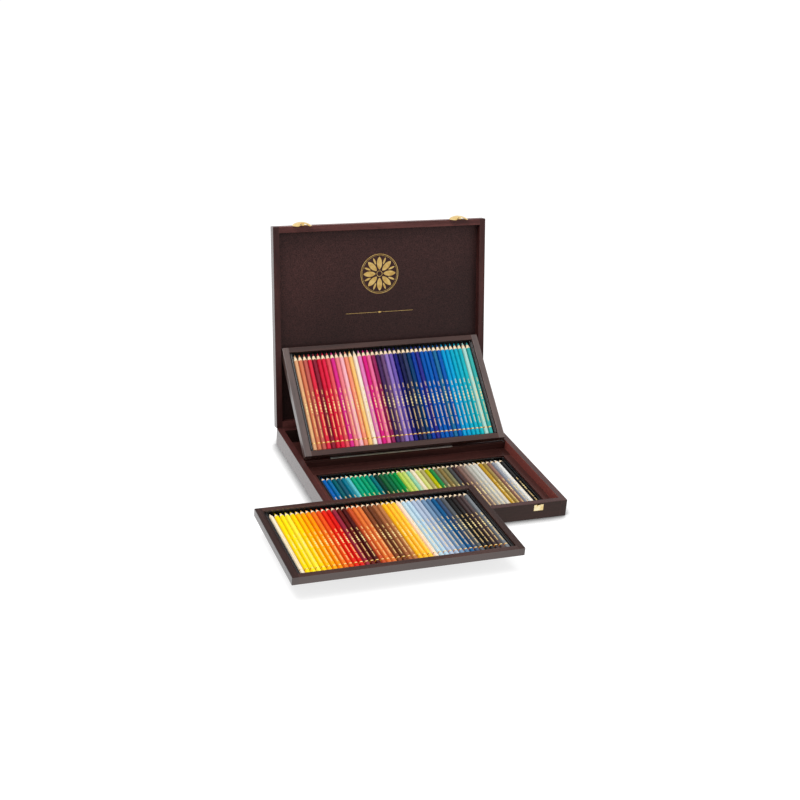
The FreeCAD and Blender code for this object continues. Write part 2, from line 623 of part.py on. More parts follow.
def lid():
    """The lid in its closed place: frame, panel, hinge leaves and catch plates."""
    block = rounded_box(RIGHT, FRONT, REAR, LID_RIM, LID_TOP, CASE_EDGE / 2, LID_EDGE, CASE_EDGE)
    ring = hollowed(block, INNER_RIGHT, INNER_FRONT, INNER_REAR, LID_RIM, LID_TOP, LID_RIM)
    lap_x, lap_y = INNER_RIGHT + PANEL_REBATE, INNER_REAR + PANEL_REBATE
    panel = box(-lap_x, lap_x, -lap_y, lap_y, LID_TOP - PANEL, LID_TOP)
    boards = frame_boards(ring.cut(panel), RIGHT, CASE_WALL, FRONT, REAR, CASE_WALL, LID_RIM, LID_TOP)
    hinges = {"left": -HINGE_X, "right": HINGE_X}
    catches = {"left": -CATCH_X, "right": CATCH_X}
    pockets = [tool for x in hinges.values() for tool in hinge_pocket(x, True)]
    nails = [nail for x in catches.values() for nail in catch_plate_pins(x)]
    nodes = {
        "lid_left_board": boards["left"],
        "lid_right_board": boards["right"],
        "lid_front_rail": boards["front"].cut(nails),
        "lid_back_rail": boards["back"].cut(pockets),
        "lid_panel": panel,
        "lid_hinge_screws": Part.makeCompound([s for x in hinges.values() for s in hinge_screws(x, True)]),
        "catch_plate_nails": Part.makeCompound(nails),
    }
    for side, x in hinges.items():
        nodes[f"hinge_{side}_lid_leaf"] = hinge_leaf(x, True)
    for side, x in catches.items():
        nodes[f"catch_{side}_plate"] = catch_plate(x)
        nodes[f"catch_{side}_pin"] = catch_pin(x)
        nodes[f"catch_{side}_tongue"] = catch_tongue(x)
    return nodes


# ---- Assembly --------------------------------------------------------------------------------------

def assembly():
    """Every node in its place with the lid open."""
    nodes = base()
    nodes.update({name: open_lid(shape) for name, shape in lid().items()})
    nodes.update({name: lean_top_tray(shape) for name, shape in tray("top_tray").items()})
    nodes.update({name: lay_front_tray(shape) for name, shape in tray("front_tray").items()})
    return nodes


os.makedirs("parts", exist_ok=True)
for node_name, node_shape in assembly().items():
    node_shape.exportStep(f"parts/{node_name}.step")
print(f"case {CASE_WIDTH:.1f} x {CASE_DEPTH:.1f} x {BASE_HEIGHT:.1f}, lid {LID_TOP - LID_RIM:.1f} deep")
print(f"tray {TRAY_WIDTH:.1f} x {TRAY_LENGTH:.1f} x {TRAY_HEIGHT:.1f}")
print(f"top tray leans {top_tray_lean():.4f}, foot {top_tray_foot()}")
print(f"front tray stands out {FRONT_TRAY_OUT:.1f}, underside at z {BASE_HEIGHT + SEAT_GAP:.1f}")
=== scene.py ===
# %% [markdown]
# # A wooden pencil case with its trays
#
# The case is a shallow mahogany-stained box with a hinged lid. Three layers of forty hexagonal
# pencils belong to it: one in the case itself and two in lift-out trays. The boards, the hinges and
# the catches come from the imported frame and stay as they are. What needs finer work is modelled
# here: the pencils, their formed black liners and the gilding on the lid.

# %% Start and load the frame
import math

import bmesh
import bpy
from mathutils import Color, Matrix, Vector


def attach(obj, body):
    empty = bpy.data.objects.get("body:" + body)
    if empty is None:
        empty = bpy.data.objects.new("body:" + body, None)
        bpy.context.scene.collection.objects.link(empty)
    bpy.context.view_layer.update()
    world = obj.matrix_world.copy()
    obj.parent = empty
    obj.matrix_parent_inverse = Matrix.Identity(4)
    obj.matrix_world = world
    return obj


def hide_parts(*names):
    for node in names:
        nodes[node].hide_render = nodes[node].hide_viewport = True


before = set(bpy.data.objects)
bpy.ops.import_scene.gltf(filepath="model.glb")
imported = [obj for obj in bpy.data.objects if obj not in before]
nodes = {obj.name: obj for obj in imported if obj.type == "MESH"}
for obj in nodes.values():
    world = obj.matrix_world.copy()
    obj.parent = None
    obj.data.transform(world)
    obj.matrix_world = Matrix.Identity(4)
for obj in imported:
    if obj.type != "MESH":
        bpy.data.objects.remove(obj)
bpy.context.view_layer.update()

# %% [markdown]
# ## Measures and places
#
# Everything is drawn in millimetres in the piece's own flat position, as on a bench, and then
# carried to its place with one matrix. A tray is drawn with its underside on z = 0 and its front
# edge on the X axis. A layer of pencils starts at the rail's inner face, on top of the board that
# carries it. The lid is drawn shut, and opened with the hinge's own turn. That keeps each shape
# simple, because nothing has to be worked out on a slope.

# %% Matrices from the bench to the object
MM = 0.001


def shift(x, y, z):
    """A move in millimetres, as a matrix in metres."""
    return Matrix.Translation(Vector((x, y, z)) * MM)


def tilt(degrees):
    """A turn about the X axis."""
    return Matrix.Rotation(math.radians(degrees), 4, "X")


HINGE_Y, HINGE_Z = 170.0, 28.1     # the axis between lid and case
LID_SWING = -102.0
LID = shift(0, HINGE_Y, HINGE_Z) @ tilt(LID_SWING) @ shift(0, -HINGE_Y, -HINGE_Z)
PANEL_FACE = 41.2                  # the panel's inner face, with the lid shut
TOP_TRAY_LEAN = 39.0199
TOP_TRAY = shift(0, 53.8, 25.7) @ tilt(TOP_TRAY_LEAN)
FRONT_TRAY = shift(-127.7, -311.0, 28.2)
IN_TRAY = shift(0, 9.5, 2.0)       # behind the front rail, on the tray's board
LAYERS = {
    "bottom": (shift(0, -159.5, 3.0), "base"),
    "top_tray": (TOP_TRAY @ IN_TRAY, "top_tray"),
    "front_tray": (FRONT_TRAY @ IN_TRAY, "front_tray"),
}
print("lid panel's middle:", [round(v, 4) for v in LID @ (Vector((0, 0, PANEL_FACE)) * MM)])

# %% [markdown]
# ## Helpers for shapes
#
# Each new piece is a bmesh that becomes one object. The mesh is scaled from millimetres and moved
# to its place before the object exists, so the object itself stays at the origin, unturned and
# unscaled.

# %% From a bmesh to a piece
def finish_piece(name, bm, place, body, materials, stands_for=()):
    """Turn a bmesh in millimetres into an object that rides on a body."""
    bmesh.ops.transform(bm, matrix=place @ Matrix.Scale(MM, 4), verts=bm.verts)
    mesh = bpy.data.meshes.new(name)
    bm.to_mesh(mesh)
    bm.free()
    for material in materials:
        mesh.materials.append(material)
    piece = bpy.data.objects.new(name, mesh)
    bpy.context.scene.collection.objects.link(piece)
    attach(piece, body)
    if stands_for:
        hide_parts(*stands_for)
    print(f"{name}: {len(mesh.vertices)} vertices, {len(mesh.polygons)} faces")
    return piece


def outward(bm):
    """Merge doubles and make every face look outwards."""
    bmesh.ops.remove_doubles(bm, verts=bm.verts, dist=1e-5)
    bmesh.ops.recalc_face_normals(bm, faces=bm.faces)


# %% [markdown]
# ## Helpers for materials
#
# A material is a small network of nodes. A few short helpers keep the wiring readable: they add a
# node and plug its sockets, do arithmetic, mix or multiply two colours, or stretch a range.

# %% Node helpers
def plug(tree, socket, value):
    """Link an output to a socket, or write a plain value into it."""
    if isinstance(value, bpy.types.NodeSocket):
        tree.links.new(value, socket)
    else:
        socket.default_value = value


def node(tree, kind, sockets=None, **settings):
    """Add a shader node, set it up and plug its sockets."""
    made = tree.nodes.new("ShaderNode" + kind)
    for key, value in settings.items():
        setattr(made, key, value)
    for socket, value in (sockets or {}).items():
        plug(tree, made.inputs[socket], value)
    return made


def calc(tree, operation, *values, clamp=False):
    """One arithmetic step."""
    made = node(tree, "Math", operation=operation, use_clamp=clamp)
    for socket, value in zip(made.inputs, values):
        plug(tree, socket, value)
    return made.outputs[0]


def mixed(tree, share, first, second, blend="MIX"):
    """Mix two colours."""
    made = node(tree, "Mix", {0: share, 6: first, 7: second}, data_type="RGBA", blend_type=blend)
    return made.outputs[2]


def times(tree, first, second):
    """Multiply two colours, or a colour and a value."""
    return mixed(tree, 1.0, first, second, "MULTIPLY")


def spread(tree, value, low, high, to_low=0.0, to_high=1.0):
    """Stretch the range low..high of a value to another range, and clamp it."""
    made = node(tree, "MapRange", {0: value, 1: low, 2: high, 3: to_low, 4: to_high})
    return made.outputs[0]


def new_group(name, inputs, outputs):
    """A shader node group with named sockets; returns it with its input and output sockets."""
    tree = bpy.data.node_groups.new(name, "ShaderNodeTree")
    for label, kind, value in inputs:
        socket = tree.interface.new_socket(name=label, in_out="INPUT",
                                           socket_type="NodeSocket" + kind)
        if value is not None:
            socket.default_value = value
    for label, kind in outputs:
        tree.interface.new_socket(name=label, in_out="OUTPUT", socket_type="NodeSocket" + kind)
    given = tree.nodes.new("NodeGroupInput").outputs
    result = tree.nodes.new("NodeGroupOutput").inputs
    return tree, given, result


def new_material(name, **constants):
    """A material with its Principled shader; constants go straight on the shader's sockets."""
    made = bpy.data.materials.new(name)
    made.use_nodes = True
    shader = made.node_tree.nodes["Principled BSDF"]
    for socket, value in constants.items():
        shader.inputs[socket.replace("_", " ")].default_value = value
    return made, made.node_tree, shader


def bumped(tree, shader, height, distance, strength=1.0):
    """Feed a height to the shader as bump; distance is in metres."""
    bump = node(tree, "Bump", {"Height": height, "Distance": distance, "Strength": strength})
    tree.links.new(bump.outputs["Normal"], shader.inputs["Normal"])


def object_place(tree):
    """Object coordinates, in metres."""
    return tree.nodes.new("ShaderNodeTexCoord").outputs["Object"]


def rgb(hex_code):
    """A colour written as the eye sees it, made linear for the shader."""
    parts = [int(hex_code[i:i + 2], 16) / 255 for i in (0, 2, 4)]
    return (*Color(parts).from_srgb_to_scene_linear(), 1.0)


def grey(value):
    """A neutral colour, already linear."""
    return (value, value, value, 1.0)


# %% [markdown]
# ## Stained mahogany
#
# The case is made of a plain hardwood, stained dark red-brown and lacquered to a satin shine. Three
# things make it look like wood and not like brown plastic: long soft streaks along each board,
# short dark pores in the same direction, and slow clouds where the stain took more or less. The
# streaks and pores are noise that is stretched along the grain. All three sit in one node group,
# so every board can have its own direction and colours while the effect is built once.

# %% Grain group
grain, given, result = new_group(
    "stained_grain",
    [("Vector", "Vector", None), ("Deep", "Color", (0.03, 0.01, 0.01, 1)),
     ("Warm", "Color", (0.09, 0.03, 0.03, 1)), ("Pores", "Float", 0.5)],
    [("Color", "Color"), ("Roughness", "Float"), ("Height", "Float")])
along = node(grain, "Mapping", {"Vector": given["Vector"], "Scale": (6.0, 95.0, 95.0)})
streak_noise = node(grain, "TexNoise", {"Vector": along.outputs[0], "Scale": 1.0, "Detail": 5.0,
                                        "Roughness": 0.62, "Distortion": 0.5})
streaks = spread(grain, streak_noise.outputs[0], 0.33, 0.67)
short = node(grain, "Mapping", {"Vector": given["Vector"], "Scale": (110.0, 1150.0, 1150.0)})
pore_noise = node(grain, "TexNoise", {"Vector": short.outputs[0], "Scale": 1.0, "Detail": 2.0})
pores = calc(grain, "MULTIPLY", spread(grain, pore_noise.outputs[0], 0.52, 0.68), given["Pores"])
cloud_noise = node(grain, "TexNoise", {"Vector": given["Vector"], "Scale": 14.0, "Detail": 2.0})
clouds = spread(grain, cloud_noise.outputs[0], 0.3, 0.7, 0.86, 1.14)
stained = mixed(grain, streaks, given["Deep"], given["Warm"])
shaded = times(grain, stained, clouds)
dimmed = calc(grain, "SUBTRACT", 1.0, calc(grain, "MULTIPLY", pores, 0.6))
plug(grain, result["Color"], times(grain, shaded, dimmed))
rough = calc(grain, "ADD", 0.36, calc(grain, "MULTIPLY", pores, 0.2))
plug(grain, result["Roughness"], calc(grain, "ADD", rough, calc(grain, "MULTIPLY", streaks, 0.05)))
plug(grain, result["Height"], calc(grain, "SUBTRACT", calc(grain, "MULTIPLY", streaks, 0.3), pores))
print("stained_grain:", len(grain.nodes), "nodes")

# %% [markdown]
# ## Worn edges and painted edge light
#
# Lacquer is thinnest on an edge, and hands rub it there first, so the edges of each board look a
# little lighter and redder. That lighter line is partly wear and partly a painted highlight, the
# sheen that light gives a rounded edge. On the brass the same mask paints the edges a darker gold, a
# painted reflection. The Bevel node gives the normal that a softly rounded corner would have.
# Where that differs from the face's own normal there is an edge, and the difference is the mask.

# %% Edge group
edge_wear_and_sheen, given, result = new_group(
    "edge_wear_and_sheen", [("Radius", "Float", 0.0008), ("Amount", "Float", 1.0)], [("Mask", "Float")])
soft_normal = node(edge_wear_and_sheen, "Bevel", {"Radius": given["Radius"]}, samples=6)
true_normal = edge_wear_and_sheen.nodes.new("ShaderNodeNewGeometry").outputs["True Normal"]
facing = node(edge_wear_and_sheen, "VectorMath", {0: soft_normal.outputs[0], 1: true_normal},
              operation="DOT_PRODUCT")
turned_away = calc(edge_wear_and_sheen, "SUBTRACT", 1.0, facing.outputs["Value"])
plug(edge_wear_and_sheen, result["Mask"],
     calc(edge_wear_and_sheen, "MULTIPLY", spread(edge_wear_and_sheen, turned_away, 0.01, 0.16), given["Amount"]))
print("edge_wear_and_sheen:", len(edge_wear_and_sheen.nodes), "nodes")

# %% [markdown]
# ## Which way a board faces
#
# Only the outer sides of the case and the trays carry a full gloss coat; the rims and the inner
# faces are rubbed down to a dull shine. The inner faces of the case are also painted a lighter red
# and the front faces a greyer tone: painted light, for the light and reflection that fall on them.
# An outer side is a face that looks away from the middle of the object, so its own X position and
# the X of its normal have the same sign. Their product is large and positive on an outer side, and
# large and negative on an inner one. A third mask finds the faces that look to the front.

# %% Facing group
facing_masks, given, result = new_group(
    "facing_masks", [("Vector", "Vector", None), ("Normal", "Vector", None)],
    [("Outer", "Float"), ("Inner", "Float"), ("Front", "Float")])
place_x = node(facing_masks, "SeparateXYZ", {0: given["Vector"]}).outputs["X"]
normal_parts = node(facing_masks, "SeparateXYZ", {0: given["Normal"]}).outputs
outwards = calc(facing_masks, "MULTIPLY", place_x, normal_parts["X"])
plug(facing_masks, result["Outer"], spread(facing_masks, outwards, 0.002, 0.03))
plug(facing_masks, result["Inner"], spread(facing_masks, outwards, -0.002, -0.03))
plug(facing_masks, result["Front"], spread(facing_masks, normal_parts["Y"], -0.8, -0.97))
print("facing_masks:", len(facing_masks.nodes), "nodes")

# %% [markdown]
# ## One wood material for each direction of grain
#
# Object coordinates don't turn with a leaning tray, so each board's material first turns them into
# the board's own directions with a Mapping node, with X along the grain. A small offset makes sure
# that no two boards carry on the same figure.

# %% Wood materials
EDGE_COLOUR = "8A5A50"
PORE_DEPTH = 0.00004


def wood(name, deep, warm, lean=0.0, lengthwise=False, offset=0.0, wear_and_edge_light=0.3, specular=0.2,
         rest=0.04, outer=0.06, front=0.0, inner_painted_light=None, front_painted_light=None):
    """Satin-lacquered stained wood with the grain along X, or along the board's own Y."""
    made, tree, shader = new_material(name, Coat_Roughness=0.16, Coat_IOR=1.6,
                                      Specular_IOR_Level=specular)
    place = tree.nodes.new("ShaderNodeTexCoord").outputs
    level = node(tree, "Mapping", {"Vector": place["Object"],
                                   "Rotation": (math.radians(-lean), 0.0, 0.0)})
    turn = math.radians(90.0) if lengthwise else 0.0
    own = node(tree, "Mapping", {"Vector": level.outputs[0], "Rotation": (0.0, 0.0, turn),
                                 "Location": (offset, offset * 1.7, offset * 0.6)})
    figure = node(tree, "Group", {"Vector": own.outputs[0], "Deep": rgb(deep), "Warm": rgb(warm),
                                  "Pores": 0.6}, node_tree=grain)
    wear_and_sheen = node(tree, "Group", {"Amount": wear_and_edge_light}, node_tree=edge_wear_and_sheen)
    faces = node(tree, "Group", {"Vector": place["Object"], "Normal": place["Normal"]},
                 node_tree=facing_masks).outputs
    colour = figure.outputs["Color"]
    # Painted light: inner faces are mixed towards a lighter red and front faces towards a greyer
    # tone, for the light and reflection that fall on them.
    for mask, painted_tone in ((faces["Inner"], inner_painted_light), (faces["Front"], front_painted_light)):
        if painted_tone:
            lit_tinted = mixed(tree, 0.6, figure.outputs["Color"], rgb(painted_tone))
            colour = mixed(tree, mask, colour, lit_tinted)
    # The edge colour is partly wear and partly a painted highlight along the edges.
    plug(tree, shader.inputs["Base Color"],
         mixed(tree, wear_and_sheen.outputs["Mask"], colour, rgb(EDGE_COLOUR)))
    plug(tree, shader.inputs["Roughness"], figure.outputs["Roughness"])
    coat = calc(tree, "MULTIPLY_ADD", faces["Outer"], outer - rest, rest)
    coat = calc(tree, "MULTIPLY_ADD", faces["Front"], front, coat, clamp=True)
    plug(tree, shader.inputs["Coat Weight"], coat)
    bumped(tree, shader, figure.outputs["Height"], PORE_DEPTH, 0.6)
    return made


RIM_DEEP, RIM_WARM = "321614", "4C2826"
LID_DEEP, LID_WARM = "492321", "6C3D39"
LID_SIDE_DEEP, LID_SIDE_WARM = "331615", "4D2A27"
BOARD_DEEP, BOARD_WARM = "2C1411", "3F1F1B"
LEDGE_DEEP, LEDGE_WARM = "40211E", "522F2A"
TRAY_DEEP, TRAY_WARM = "331E1B", "4A2F29"
TOP_SIDE_DEEP, TOP_SIDE_WARM = "42302D", "5E4640"
FRONT_SIDE_DEEP, FRONT_SIDE_WARM = "291816", "3C2621"
# Colours of painted light: the greyer fronts of case and front tray, and the lighter red inner faces
# of the case.
CASE_FRONT_PAINTED_LIGHT, TRAY_FRONT_PAINTED_LIGHT = "3A302A", "6A5A56"
CASE_INSIDE_PAINTED_LIGHT = "9A5048"
woods = {
    "case_rail": wood("wood_case_rail", RIM_DEEP, RIM_WARM, offset=0.11,
                      front_painted_light=CASE_FRONT_PAINTED_LIGHT),
    "case_side": wood("wood_case_side", RIM_DEEP, RIM_WARM, lengthwise=True, offset=0.37,
                      specular=0.25, outer=1.0, inner_painted_light=CASE_INSIDE_PAINTED_LIGHT,
                      front_painted_light=CASE_FRONT_PAINTED_LIGHT),
    "lid_rail": wood("wood_lid_rail", LID_DEEP, LID_WARM, LID_SWING, offset=0.71),
    "lid_side": wood("wood_lid_side", LID_SIDE_DEEP, LID_SIDE_WARM, LID_SWING, True, 0.93,
                     outer=1.0),
    "top_rail": wood("wood_top_tray_rail", TRAY_DEEP, TRAY_WARM, TOP_TRAY_LEAN, offset=1.31,
                     rest=0.3),
    "top_side": wood("wood_top_tray_side", TOP_SIDE_DEEP, TOP_SIDE_WARM, TOP_TRAY_LEAN, True,
                     1.57, specular=0.5, rest=0.6, outer=1.0),
    "front_rail": wood("wood_front_tray_rail", TRAY_DEEP, TRAY_WARM, offset=1.83, front=1.0,
                       specular=0.15, front_painted_light=TRAY_FRONT_PAINTED_LIGHT),
    "front_side": wood("wood_front_tray_side", FRONT_SIDE_DEEP, FRONT_SIDE_WARM, 0.0, True, 2.09,
                       specular=0.12, rest=0.0, outer=1.0, front=1.0,
                       front_painted_light=TRAY_FRONT_PAINTED_LIGHT),
    "deck": wood("board_deck", BOARD_DEEP, BOARD_WARM, offset=2.77),
    "deck_side": wood("board_deck_side", LEDGE_DEEP, LEDGE_WARM, lengthwise=True, offset=3.01),
    "top_board": wood("board_top_tray", TRAY_DEEP, TRAY_WARM, TOP_TRAY_LEAN, offset=3.35),
    "front_board": wood("board_front_tray", TRAY_DEEP, TRAY_WARM, offset=3.61),
}
print(len(woods), "wood materials")

# %% [markdown]
# ## The lid's panel
#
# The panel inside the lid isn't bare wood. It is a board covered with stained paper that is pressed
# with a fine leather grain, so it has no streaks, only small speckles and slow clouds. Two noises
# make the speckles, a fine one for the grain itself and a wider one for its darker patches. A faint
# painted sheen, a pool of painted light, makes the paper lighter towards its upper left corner.

# %% Pressed panel material
panel, tree, shader = new_material("pressed_panel", Specular_IOR_Level=0.22, Coat_Weight=0.0)
where = object_place(tree)
speck = node(tree, "TexNoise", {"Vector": where, "Scale": 620.0, "Detail": 3.0, "Roughness": 0.7})
patch = node(tree, "TexNoise", {"Vector": where, "Scale": 120.0, "Detail": 3.0})
cloud = node(tree, "TexNoise", {"Vector": where, "Scale": 9.0, "Detail": 2.0})
specks = spread(tree, speck.outputs[0], 0.36, 0.66)
tone = mixed(tree, specks, rgb("231111"), rgb("452927"))
tone = times(tree, tone, spread(tree, patch.outputs[0], 0.3, 0.7, 0.88, 1.12))
tone = times(tree, tone, spread(tree, cloud.outputs[0], 0.3, 0.7, 0.86, 1.18))
to_right, _, height = node(tree, "SeparateXYZ", {0: where}).outputs
# Painted light: the paper's colour is made lighter towards its upper left corner.
sheen = calc(tree, "SUBTRACT", height, calc(tree, "MULTIPLY", to_right, 0.3))
tone = times(tree, tone, spread(tree, sheen, 0.2, 0.34, 0.78, 1.32))
plug(tree, shader.inputs["Base Color"], tone)
plug(tree, shader.inputs["Roughness"], spread(tree, speck.outputs[0], 0.3, 0.7, 0.62, 0.46))
bumped(tree, shader, specks, 0.00012, 0.6)
woods["lid_panel"] = panel
print("pressed_panel:", len(tree.nodes), "nodes")

# %% [markdown]
# ## Brass, aluminium and black plastic
#
# The hinges, catches and nails are polished brass, the keepers paler lacquered brass. The stop
# strip on the platform is satin aluminium, and the liners are formed from black plastic sheet. Bare
# metal gets its looks from what it mirrors, so the roughness carries the detail: faint polishing
# marks and the odd duller patch.

# %% Rubbed surface group
FINE_GRIT = 0.00001
rubbed, given, result = new_group(
    "rubbed_surface",
    [("Vector", "Vector", None), ("Base", "Float", 0.2), ("Variation", "Float", 0.1)],
    [("Patches", "Float"), ("Roughness", "Float"), ("Height", "Float")])
patch_noise = node(rubbed, "TexNoise", {"Vector": given["Vector"], "Scale": 130.0, "Detail": 3.0})
patches = spread(rubbed, patch_noise.outputs[0], 0.35, 0.65)
fine_noise = node(rubbed, "TexNoise", {"Vector": given["Vector"], "Scale": 2600.0, "Detail": 2.0})
plug(rubbed, result["Patches"], patches)
plug(rubbed, result["Roughness"],
     calc(rubbed, "ADD", given["Base"], calc(rubbed, "MULTIPLY", patches, given["Variation"])))
plug(rubbed, result["Height"], fine_noise.outputs[0])


def rubbed_material(name, plain, dull, base, variation, grit, wear_and_edge_light=0.0, bright="FFFFFF",
                    **constants):
    """A metal or plastic whose gloss varies over the surface."""
    made, tree, shader = new_material(name, **constants)
    surface = node(tree, "Group", {"Vector": object_place(tree), "Base": base,
                                   "Variation": variation}, node_tree=rubbed)
    colour = mixed(tree, surface.outputs["Patches"], rgb(plain), rgb(dull))
    # Painted reflection: the edges are mixed towards the given edge colour, a darker gold on the
    # brass.
    if wear_and_edge_light:
        edge = node(tree, "Group", {"Radius": 0.0005, "Amount": wear_and_edge_light}, node_tree=edge_wear_and_sheen)
        colour = mixed(tree, edge.outputs["Mask"], colour, rgb(bright))
    plug(tree, shader.inputs["Base Color"], colour)
    plug(tree, shader.inputs["Roughness"], surface.outputs["Roughness"])
    bumped(tree, shader, surface.outputs["Height"], grit, 0.5)
    print(name)
    return made


# Brass edges are painted a darker gold as painted reflection; on the keepers they make darker gold
# border lines.
brass = rubbed_material("polished_brass", "F6DA98", "E4BC6C", 0.1, 0.08, FINE_GRIT,
                        wear_and_edge_light=0.7, bright="8E6A2C", Metallic=1.0)
keeper_brass = rubbed_material("lacquered_brass", "FFF2C6", "F6DC9A", 0.24, 0.1, FINE_GRIT,
                               wear_and_edge_light=0.9, bright="B98A3A", Metallic=0.9)
strip_metal = rubbed_material("satin_aluminium", "C9C9C9", "B5B5B7", 0.34, 0.12, FINE_GRIT,
                              Metallic=1.0)
black_plastic = rubbed_material("formed_black_plastic", "070708", "0D0D0E", 0.26, 0.06, 0.000003,
                                Specular_IOR_Level=0.5)
gilding = rubbed_material("gold_foil", "D8B873", "BF9A54", 0.3, 0.12, FINE_GRIT, Metallic=0.85)

# %% [markdown]
# ## Materials on the frame's own parts
#
# Each board of the frame gets the wood whose grain runs along it, and each metal part its metal.

# %% Dress the nodes
DRESS = {
    "case_rail": "base_front_rail base_back_rail",
    "case_side": "base_left_board base_right_board",
    "lid_rail": "lid_front_rail lid_back_rail",
    "lid_side": "lid_left_board lid_right_board",
    "top_rail": "top_tray_front_rail top_tray_back_rail",
    "top_side": "top_tray_left_rail top_tray_right_rail",
    "front_rail": "front_tray_front_rail front_tray_back_rail",
    "front_side": "front_tray_left_rail front_tray_right_rail",
    "lid_panel": "lid_panel",
    "deck": "deck_back_board platform_top platform_front_riser platform_back_riser "
            "base_bottom_panel",
    "deck_side": "deck_left_strip deck_right_strip",
    "top_board": "top_tray_bottom",
    "front_board": "front_tray_bottom",
}
finish_of = {name: woods[kind] for kind, names in DRESS.items() for name in names.split()}
for name in nodes:
    if name.startswith(("hinge", "catch", "keeper", "base_hinge", "lid_hinge")):
        finish_of[name] = keeper_brass if name.startswith("keeper_") else brass
    elif name.endswith("_liner"):
        finish_of[name] = black_plastic
finish_of["tray_stop_strip"] = strip_metal
for name, finish in finish_of.items():
    nodes[name].data.materials.clear()
    nodes[name].data.materials.append(finish)
print("dressed", len(finish_of), "nodes; left for new pieces:", sorted(set(nodes) - set(finish_of)))

# %% [markdown]
# ## The pencil
#
# A pencil is a hexagonal rod, sharpened to a cone. Where the cone meets the six flats it leaves the
# scalloped edge that every sharpened hexagonal pencil has. One pencil is a cylinder of 24 sides
# that is sliced into rings; each ring is then drawn out to its place: a tapered blunt end, the
# start of the barrel, the scallop, the start of the lead and its tip. The ring at the scallop isn't
# level: at each angle it lies where the cone is as wide as the hexagon. Level faces are joined, so
# that a pencil takes few of them, because there are 120 pencils. The corners of the hexagon get a
# narrow flat, which catches the light as lacquer does.

# %% Shape of the pencil
FLATS = 6.9                        # width across the flats
CORNERS = FLATS / math.cos(math.radians(30))
PITCH = CORNERS + 0.08             # from one pencil to the next
LENGTH = 177.8
CONE = 13.8                        # length of the sharpened cone
CONE_WIDE = CORNERS / 2 + 0.08     # its radius at the barrel
TIP = 0.35                         # radius of the lead's point
LEAD = 1.85                        # radius where the lead meets the wood
BLUNT = 0.85                       # length of the taper at the blunt end
BLUNT_SHARE = 1 - BLUNT / 4        # how wide the blunt end is, as a share of the barrel
SECTOR_STEPS = (4, 22, 38, 56)     # degrees of the four points of one flat, from its corner
SIDES = 24


def cone_start(radius):
    """How far along the pencil the sharpened cone has this radius."""
    return LENGTH - CONE * (radius - TIP) / (CONE_WIDE - TIP)


def ring_place(ring, radius):
    """Distance from the axis and place along the pencil for one point of a ring."""
    if ring == 0:
        return radius * BLUNT_SHARE, 0.0
    if ring == 1:
        return radius, BLUNT
    if ring == 2:
        return radius, cone_start(radius)
    if ring == 3:
        return LEAD, cone_start(LEAD)
    return TIP, LENGTH


def pencil_shape():
    """One pencil along +Y on the axis x = 0, with its lower flat on z = 0."""
    bm = bmesh.new()
    bmesh.ops.create_cone(bm, cap_ends=True, segments=SIDES, radius1=1, radius2=1, depth=4)
    for level in (-1, 0, 1):
        bmesh.ops.bisect_plane(bm, geom=bm.verts[:] + bm.edges[:] + bm.faces[:],
                               plane_co=(0, 0, level), plane_no=(0, 0, 1))
    for vert in bm.verts:
        point = round(math.atan2(vert.co.y, vert.co.x) / math.tau * SIDES) % SIDES
        own = SECTOR_STEPS[point % 4]
        radius = FLATS / 2 / math.cos(math.radians(own - 30))
        angle = math.radians(60 * (point // 4) + own)
        out, place = ring_place(round(vert.co.z + 2), radius)
        vert.co = Vector((out * math.cos(angle), place, out * math.sin(angle) + FLATS / 2))
    for face in bm.faces:
        face.material_index = int(min(vert.co.y for vert in face.verts) > cone_start(LEAD) - 0.1)
    bm.normal_update()
    bmesh.ops.dissolve_limit(bm, angle_limit=math.radians(1.0), verts=bm.verts, edges=bm.edges,
                             delimit={"MATERIAL"})
    outward(bm)
    mesh = bpy.data.meshes.new("pencil_pattern")
    bm.to_mesh(mesh)
    bm.free()
    return mesh


pattern = pencil_shape()
print("one pencil:", len(pattern.polygons), "faces,", len(pattern.vertices), "vertices")

# %% [markdown]
# ## Lacquer, bare wood and lead
#
# The barrel is dipped in coloured lacquer. Near the blunt end runs a thin gold ring, and on the
# upper flat there is a line of small gilt marks: runs of plain dashes with three lozenges between
# them. Each pencil carries three attributes: its colour, a shift of its marks, and its own place,
# so that the marks stay on the pencil whichever way its tray leans.

# %% Gilt marks group
marks, given, result = new_group(
    "gilt_marks", [("Place", "Vector", None), ("Shift", "Float", 0.0)],
    [("Dashes", "Float"), ("Lozenges", "Float"), ("Ring", "Float")])
across, down_pencil, up = node(marks, "SeparateXYZ", {0: given["Place"]}).outputs


def between(tree, value, low, high):
    """1 where the value lies between two limits."""
    above = calc(tree, "GREATER_THAN", value, low)
    below = calc(tree, "LESS_THAN", value, high)
    return calc(tree, "MULTIPLY", above, below)


def marked_runs(tree, value, *runs):
    """1 where the value lies in any of some runs."""
    total = 0.0
    for low, high in runs:
        total = calc(tree, "ADD", total, between(tree, value, low, high))
    return total


